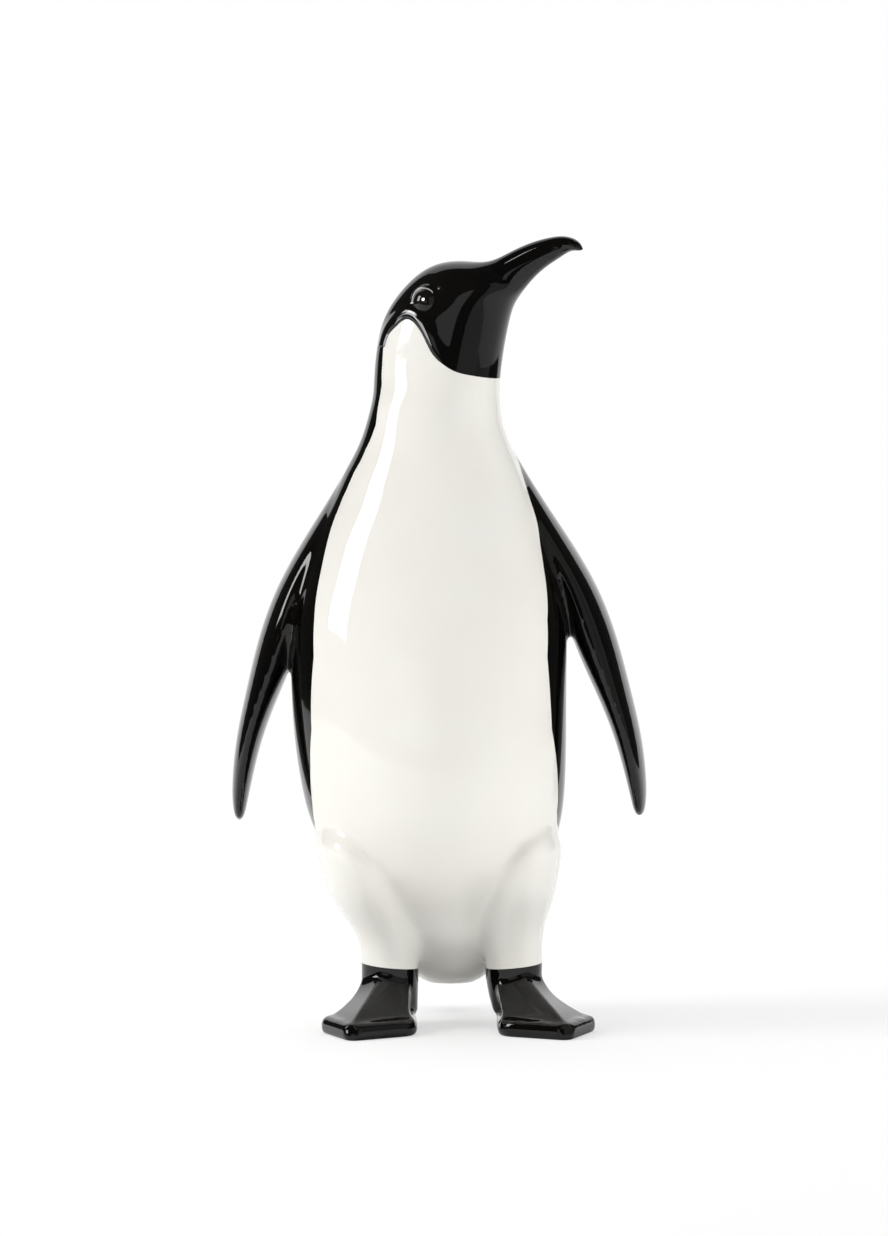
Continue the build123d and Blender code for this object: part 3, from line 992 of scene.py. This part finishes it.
def materials():
    """The glazes of the figurine, made once"""
    if "black_glaze" not in bpy.data.materials:
        colours = bpy.context.scene.penguin_glaze
        group = glaze_flow_group()
        black = tuple(colours.black)
        brown = tuple(tone * share for tone, share in zip(black, BROWN_SHARES))
        glaze_material("black_glaze", group, black, brown, BLACK_FLOW, colours.gloss)
        white, warm = tuple(colours.white), tuple(colours.warm)
        glaze_material("white_glaze", group, white, warm, WHITE_FLOW, colours.gloss)
    return bpy.data.materials["black_glaze"], bpy.data.materials["white_glaze"]


def finish_piece(piece, node, material):
    """Dresses a finished piece and puts it in the place of its node"""
    piece.name = node + "_glazed"
    piece.data.name = piece.name
    piece.data.materials.clear()
    piece.data.materials.append(material)
    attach(piece, "root")
    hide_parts(node)


# Operators


class PENGUIN_OT_body(bpy.types.Operator):
    """Models the shell, head, bill, flippers, legs and tail from one blended skin"""

    bl_idname = "penguin.body"
    bl_label = "Body, head and limbs"

    def execute(self, context):
        settings = context.scene.penguin_figure
        forms = [figure_form(settings), tail_form(0.0, settings)]
        for side in SIDES:
            forms += [flipper_form(side, 0.0, settings), leg_form(side, 0.0, settings)]
        skin = united("skin", forms, settings.skin_grain)
        soften_joints(skin, forms, settings.fillet_reach, settings.fillet_rounds, BODY_PASSES)
        skin.data.shade_smooth()

        shell = copy_of(skin, "shell")
        hollow = hollow_form(settings)
        hood_side = hood_side_tool()
        trim(shell, hollow, "DIFFERENCE")
        trim(shell, hood_side, "DIFFERENCE")

        pieces = {}
        fat = CUTTER_FAT
        for side in SIDES:
            leg = self.take(shell, leg_form(side, fat, settings), "leg_" + side)
            below = below_ankle_tool(side)
            trim(leg, below, "DIFFERENCE")
            remove(below)
            pieces["leg_" + side] = leg
        pieces["breast_shell"] = self.take(shell, breast_side_tool(), "breast_shell")
        for side in SIDES:
            name = "flipper_" + side
            pieces[name] = self.take(shell, flipper_form(side, fat, settings), name)
        pieces["tail"] = self.take(shell, tail_form(fat, settings), "tail")
        pieces["back_shell"] = shell

        head_skin = self.head_skin(forms[0], settings)
        hood = copy_of(head_skin, "head_hood")
        trim(hood, hollow, "DIFFERENCE")
        trim(hood, hood_side, "INTERSECT")
        pieces["bill"] = self.take(hood, bill_tool(), "bill")
        for side in SIDES:
            ball = eye_ball(side)
            trim(hood, ball, "DIFFERENCE")
            remove(ball)
        pieces["head_hood"] = hood
        remove(*forms)

        black, white = materials()
        for node, piece in pieces.items():
            take_normals(piece, head_skin if node in ("head_hood", "bill") else skin)
            pale = node.startswith("leg") or node == "breast_shell"
            finish_piece(piece, node, white if pale else black)
        remove(skin, head_skin, hollow, hood_side)
        return {"FINISHED"}

    def head_skin(self, figure, settings):
        """The finer skin of head and bill, with mouth line, eyelids and the lip of the hood"""
        head = copy_of(figure, "head_form")
        reach = 2 * HOOD_REACH
        low = (-reach, -reach, HEAD_CUT_SHARE * FIGURE_HEIGHT)
        above = box_tool("above_neck", Matrix.Identity(4), low, (reach, reach, reach * 2))
        trim(head, above, "INTERSECT")
        forms = [head] + [lid_form(side) for side in SIDES]
        skin = united("head_skin", forms, settings.head_grain)
        soften_joints(skin, forms, *HEAD_FILLET)
        shape_along(skin, HOOD_EDGE_SHARES, LIP_REACH, lip_profile)
        shape_along(skin, MOUTH_SHARES, 3 * MOUTH_WIDTH, mouth_profile)
        skin.data.shade_smooth()
        remove(above, *forms)
        return skin

    def take(self, shell, tool, name):
        """Moves the part of the shell inside the tool into a new piece"""
        piece = copy_of(shell, name)
        trim(piece, tool, "INTERSECT")
        trim(shell, tool, "DIFFERENCE")
        remove(tool)
        return piece


def foot_outline(side, inset):
    """Heel, inner side, inner toe, middle toe, outer toe and outer side, as distances ahead and out"""
    toe = SIDE_TOE_AHEAD_SHARE * FOOT_LENGTH - inset
    flank = SIDE_AHEAD_SHARE * FOOT_LENGTH
    return (
        (HEEL_AHEAD_SHARE * FOOT_LENGTH + inset, 0.0),
        (flank, inset - INNER_SIDE_SHARES[side] * FOOT_LENGTH),
        (toe, inset - INNER_TOE_SHARES[side] * FOOT_LENGTH),
        (FOOT_LENGTH - inset, 0.0),
        (toe, OUTER_TOE_SHARES[side] * FOOT_LENGTH - inset),
        (flank, OUTER_SIDE_SHARE * FOOT_LENGTH - inset),
    )


def foot_place(side):
    """From a foot's own frame, with out along +X and ahead along -Y, to its place"""
    sign = -1 if side == "right" else 1
    at = Matrix.Translation(Vector((sign * ANKLE_SPACING + STANCE_SHIFT, 0.0, 0.0)) + TO_ORIGIN)
    turn = Matrix.Rotation(sign * FOOT_TURNOUT[side], 4, "Z")
    return at @ turn @ Matrix.Diagonal((sign, 1, 1, 1))


def foot_plate(side):
    """Sole and rim of a foot with rounded corners and edges"""
    mesh = bmesh.new()
    corners = [mesh.verts.new((out, -ahead, 0.0)) for ahead, out in foot_outline(side, 0.0)]
    sole = mesh.faces.new(corners)
    pull(mesh, bmesh.ops.extrude_face_region(mesh, geom=[sole]), (0.0, 0.0, FOOT_RIM))

    def rounded(edges, radius, segments):
        bmesh.ops.bevel(
            mesh, geom=edges, offset=radius, offset_type="OFFSET", affect="EDGES",
            segments=segments, profile=0.5, material=-1,
        )

    upright = [edge for edge in mesh.edges if abs(edge.verts[0].co.z - edge.verts[1].co.z) > MM]
    rounded(upright, FOOT_CORNER_RADIUS, CORNER_SEGMENTS)
    for height, radius in ((FOOT_RIM, FOOT_EDGE_RADIUS), (0.0, SOLE_EDGE_RADIUS)):
        rim = [edge for edge in mesh.edges if all(abs(vert.co.z - height) < WELD for vert in edge.verts)]
        rounded(rim, radius, EDGE_SEGMENTS)
    bmesh.ops.transform(mesh, matrix=foot_place(side), verts=mesh.verts[:])
    return closed_object("plate", mesh)


def foot_slopes(side):
    """The two hollow slopes of a foot that meet in a ridge over the middle toe"""
    outline = foot_outline(side, FOOT_EDGE_RADIUS + SLOPE_INSET)
    rows = []
    for height, middle_reach, side_reach in FOOT_RING_SHARES:
        reaches = (side_reach, side_reach, side_reach, middle_reach, side_reach, side_reach)
        row = []
        for (ahead, out), angle, reach in zip(outline, FOOT_ROOT_ANGLES, reaches):
            turn = math.radians(angle)
            root_ahead = ANKLE_HALF_DEPTH * FOOT_ROOT_SHARE * math.cos(turn)
            root_out = ANKLE_HALF_WIDTH * FOOT_ROOT_SHARE * math.sin(turn)
            x = root_out + (out - root_out) * reach
            y = -(root_ahead + (ahead - root_ahead) * reach)
            row.append(Vector((x, y, height * ANKLE_HEIGHT)))
        rows.append(row)
    columns = [curve_points([row[corner] for row in rows], SLOPE_STEPS) for corner in range(len(rows[0]))]
    mesh = bmesh.new()
    loops = []
    for ring in zip(*columns):
        verts = [mesh.verts.new(point) for point in ring]
        loops.append([mesh.edges.new((one, other)) for one, other in zip(verts, verts[1:] + verts[:1])])
    bridge(mesh, loops)
    bmesh.ops.transform(mesh, matrix=foot_place(side), verts=mesh.verts[:])
    return closed_object("slopes", mesh)


def foot_stub(side):
    """The ankle's round stub down to the sole"""
    place = foot_place(side)
    mesh = bmesh.new()
    loops = []
    rows = [(height, 1 - taper * (1 - ANKLE_TAPER[side])) for height, taper in ANKLE_TAPER_SHARES]
    points = [(0.0, width * TAPER_SCALE, height * ANKLE_HEIGHT) for height, width in rows]
    for point in curve_points(points, EDGE_STEPS):
        width = point.y / TAPER_SCALE
        oval = Matrix.Diagonal((width * ANKLE_HALF_WIDTH, width * ANKLE_HALF_DEPTH, 1.0, 1.0))
        shape = Matrix.Translation((0.0, 0.0, point.z)) @ oval
        loops.append(ring_edges(mesh, STUB_SIDES, 1.0, place @ shape))
    return bridged("stub", mesh, loops)


class PENGUIN_OT_feet(bpy.types.Operator):
    """Models the two webbed feet with their ridges, rims and ankles"""

    bl_idname = "penguin.feet"
    bl_label = "Feet"

    def execute(self, context):
        settings = context.scene.penguin_figure
        for side in SIDES:
            forms = [foot_plate(side), foot_slopes(side), foot_stub(side)]
            foot = united("foot_" + side, forms, settings.foot_grain)
            soften_joints(foot, forms, *FOOT_FILLET)
            remove(*forms)
            skin = copy_of(foot, "foot_skin")
            skin.data.shade_smooth()
            below = below_ankle_tool(side)
            trim(foot, below, "INTERSECT")
            remove(below)
            take_normals(foot, skin)
            remove(skin)
            finish_piece(foot, "foot_" + side, materials()[0])
        return {"FINISHED"}


def eye_ball(side):
    """A domed pellet with a flat back"""
    place = eye_place(side)
    mesh = bmesh.new()
    bmesh.ops.create_uvsphere(mesh, u_segments=96, v_segments=64, radius=EYE_RADIUS, matrix=place)
    axis = place.to_3x3() @ Vector((0.0, 0.0, 1.0))
    seat = place.translation - axis * EYE_LIFT
    cut = bmesh.ops.bisect_plane(
        mesh, geom=mesh.verts[:] + mesh.edges[:] + mesh.faces[:], plane_co=seat, plane_no=axis,
        clear_inner=True,
    )["geom_cut"]
    edges = [part for part in cut if isinstance(part, bmesh.types.BMEdge)]
    bmesh.ops.contextual_create(mesh, geom=edges)
    return closed_object("eye_ball", mesh)


class PENGUIN_OT_eyes(bpy.types.Operator):
    """Models the domed eyes and seats them in the hood"""

    bl_idname = "penguin.eyes"
    bl_label = "Eyes"

    def execute(self, context):
        for side in SIDES:
            eye = eye_ball(side)
            eye.data.shade_smooth()
            finish_piece(eye, "eye_" + side, materials()[0])
        return {"FINISHED"}


# Stage


def studio_material():
    """Diffuse white that camera and mirror rays see as white, more so far behind the figurine"""
    material = bpy.data.materials.new("studio_white")
    material.use_nodes = True
    tree = material.node_tree
    nodes = tree.nodes
    link = tree.links.new
    nodes.clear()
    output = nodes.new("ShaderNodeOutputMaterial")
    diffuse = nodes.new("ShaderNodeBsdfDiffuse")
    diffuse.inputs["Color"].default_value = (*SWEEP_COLOUR, 1.0)
    glow = nodes.new("ShaderNodeEmission")
    glow.inputs["Strength"].default_value = 1.0
    ray = nodes.new("ShaderNodeLightPath").outputs
    place = nodes.new("ShaderNodeTexCoord")
    split = nodes.new("ShaderNodeSeparateXYZ")
    link(place.outputs["Object"], split.inputs[0])
    distance = split.outputs["Y"]
    mirrored = math_node(tree, "MAXIMUM", ray["Is Glossy Ray"], ray["Is Transmission Ray"])
    seen_share = range_node(tree, distance, NEAR_AND_FAR, SEEN_SHARES)
    seen = math_node(tree, "MULTIPLY", ray["Is Camera Ray"], seen_share)
    mirror_share = range_node(tree, distance, NEAR_AND_FAR, MIRROR_SHARES)
    mirrored = math_node(tree, "MULTIPLY", mirrored, mirror_share)
    mix = nodes.new("ShaderNodeMixShader")
    link(math_node(tree, "MAXIMUM", seen, mirrored), mix.inputs["Fac"])
    link(diffuse.outputs[0], mix.inputs[1])
    link(glow.outputs[0], mix.inputs[2])
    link(mix.outputs[0], output.inputs["Surface"])
    return material


def panel_light(name, size, place, aim, glow, mirrored):
    """A rectangular studio light of a given brightness that points at a place"""
    lamp = bpy.data.lights.new(name, "AREA")
    lamp.shape = "RECTANGLE"
    lamp.size, lamp.size_y = size
    lamp.energy = glow * math.pi * size[0] * size[1]
    made = bpy.data.objects.new(name, lamp)
    bpy.context.scene.collection.objects.link(made)
    made.location = place
    made.rotation_euler = (Vector(aim) - Vector(place)).to_track_quat("-Z", "Y").to_euler()
    made.visible_glossy = mirrored
    return made


def around(azimuth, distance, height):
    """A place round the figurine; azimuth 0 is towards the camera and 90 at the right of the viewer"""
    angle = math.radians(azimuth)
    return Vector((distance * math.sin(angle), -distance * math.cos(angle), height))


def shine_on(lamp, endings):
    """The lamp lights only objects whose names end so"""
    lit = bpy.data.collections.new(lamp.name + "_targets")
    for made in bpy.data.objects:
        if made.name.endswith(endings):
            lit.objects.link(made)
    lamp.light_linking.receiver_collection = lit


class PENGUIN_OT_stage(bpy.types.Operator):
    """Sets the floor, backdrop, lamps, world and camera"""

    bl_idname = "penguin.stage"
    bl_label = "Stage"

    def execute(self, context):
        settings = context.scene.penguin_stage
        mesh = bmesh.new()
        points = curve_points([(0.0, y, z) for y, z in SWEEP_PROFILE], EDGE_STEPS)
        verts = [mesh.verts.new((-SWEEP_HALF_WIDTH, point.y, max(point.z, 0.0))) for point in points]
        edges = [mesh.edges.new(pair) for pair in zip(verts, verts[1:])]
        pull(mesh, bmesh.ops.extrude_edge_only(mesh, edges=edges), (2 * SWEEP_HALF_WIDTH, 0.0, 0.0))
        floor = new_object("studio_sweep", mesh)
        floor.data.shade_smooth()
        floor.data.materials.append(studio_material())

        self.lamps(settings)

        world = bpy.data.worlds.new("studio_room")
        context.scene.world = world
        world.use_nodes = True
        room = world.node_tree.nodes["Background"].inputs
        room["Color"].default_value = (1.0, 1.0, 1.0, 1.0)
        room["Strength"].default_value = ROOM_GLOW

        data = bpy.data.cameras.new("camera")
        camera = bpy.data.objects.new("camera", data)
        context.scene.collection.objects.link(camera)
        camera.location = Vector((CAMERA_SHIFT, -settings.camera_distance, CAMERA_HEIGHT)) + TO_ORIGIN
        camera.rotation_euler = (math.radians(90.0) - math.atan(CAMERA_DROP), 0.0, 0.0)
        data.lens = settings.focal_length
        data.sensor_width = SENSOR_WIDTH
        data.clip_end = 20.0
        context.scene.camera = camera
        context.scene.view_settings.view_transform = "Standard"
        return {"FINISHED"}

    def lamps(self, settings):
        """A strip at the left, panels in front and at the right, fills, and lights for single pieces"""
        head = Vector((0.0, 0.0, 0.235))
        middle = Vector((0.0, 0.0, 0.14))
        level = Vector((0.0, 0.0, 0.4))
        above = Vector((-0.2, 0.35, 1.8))
        key, low, side, fill = settings.key_glow, settings.low_glow, settings.side_glow, settings.fill_glow
        wash, hood, eyes = settings.floor_glow, settings.hood_glow, settings.eye_glow
        # Name, size, place, aim, brightness, whether glazes mirror it and, if not all, what it lights
        rows = (
            ("left_strip", (0.50, 0.84), around(-76, 1.3, 0.79), head, key, True, None),
            ("front_panel", (0.96, 0.5), around(-15.5, 1.7, 0.25), head, low, True, None),
            ("right_panel", (0.91, 1.6), around(40, 1.25, 0.4), level, side, True, None),
            ("far_right_panel", (0.91, 1.6), around(80, 1.25, 0.4), level, 0.7 * side, True, None),
            ("front_fill", (1.6, 0.9), around(24, 1.3, 0.6), middle, fill, False, "_glazed"),
            ("side_fill", (1.0, 1.0), around(82, 1.3, 0.95), middle, 1.2 * fill, False, "_glazed"),
            ("floor_wash", (2.2, 2.2), above, Vector((-0.1, 0.1, 0.0)), wash, False, "studio_sweep"),
            ("hood_light", (0.85, 0.32), around(-80, 1.1, 0.906), head, hood, True, "hood_glazed"),
            ("glint_light", (0.53, 0.52), around(-61, 1.1, 0.21), head, hood, True, "hood_glazed"),
            (
                "eye_light", (0.5, 0.5), around(-32, 1.1, 0.62), middle, eyes, True,
                ("eye_right_glazed", "eye_left_glazed"),
            ),
        )
        for *row, lit in rows:
            lamp = panel_light(*row)
            if lit:
                shine_on(lamp, lit)
        lamp.data.shape = "DISK"  # the eyes have a round glint


class PENGUIN_PT_panel(bpy.types.Panel):
    """Lists the pieces that can be built"""

    bl_idname = "PENGUIN_PT_panel"
    bl_label = "Glazed penguin"
    bl_space_type = "VIEW_3D"
    bl_region_type = "UI"
    bl_category = "Penguin"

    def draw(self, context):
        for operator in OPERATORS:
            self.layout.operator(operator.bl_idname)


OPERATORS = (PENGUIN_OT_body, PENGUIN_OT_feet, PENGUIN_OT_eyes, PENGUIN_OT_stage)
CLASSES = (FigureSettings, GlazeSettings, StageSettings, *OPERATORS, PENGUIN_PT_panel)


def register():
    for cls in CLASSES:
        bpy.utils.register_class(cls)
    bpy.types.Scene.penguin_figure = PointerProperty(type=FigureSettings)
    bpy.types.Scene.penguin_glaze = PointerProperty(type=GlazeSettings)
    bpy.types.Scene.penguin_stage = PointerProperty(type=StageSettings)


def unregister():
    del bpy.types.Scene.penguin_stage
    del bpy.types.Scene.penguin_glaze
    del bpy.types.Scene.penguin_figure
    for cls in reversed(CLASSES):
        bpy.utils.unregister_class(cls)


def main():
    """Builds every piece and the stage"""
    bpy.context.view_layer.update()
    register()
    bpy.ops.penguin.body()
    bpy.ops.penguin.feet()
    bpy.ops.penguin.eyes()
    bpy.ops.penguin.stage()


if __name__ == "__main__":
    main()
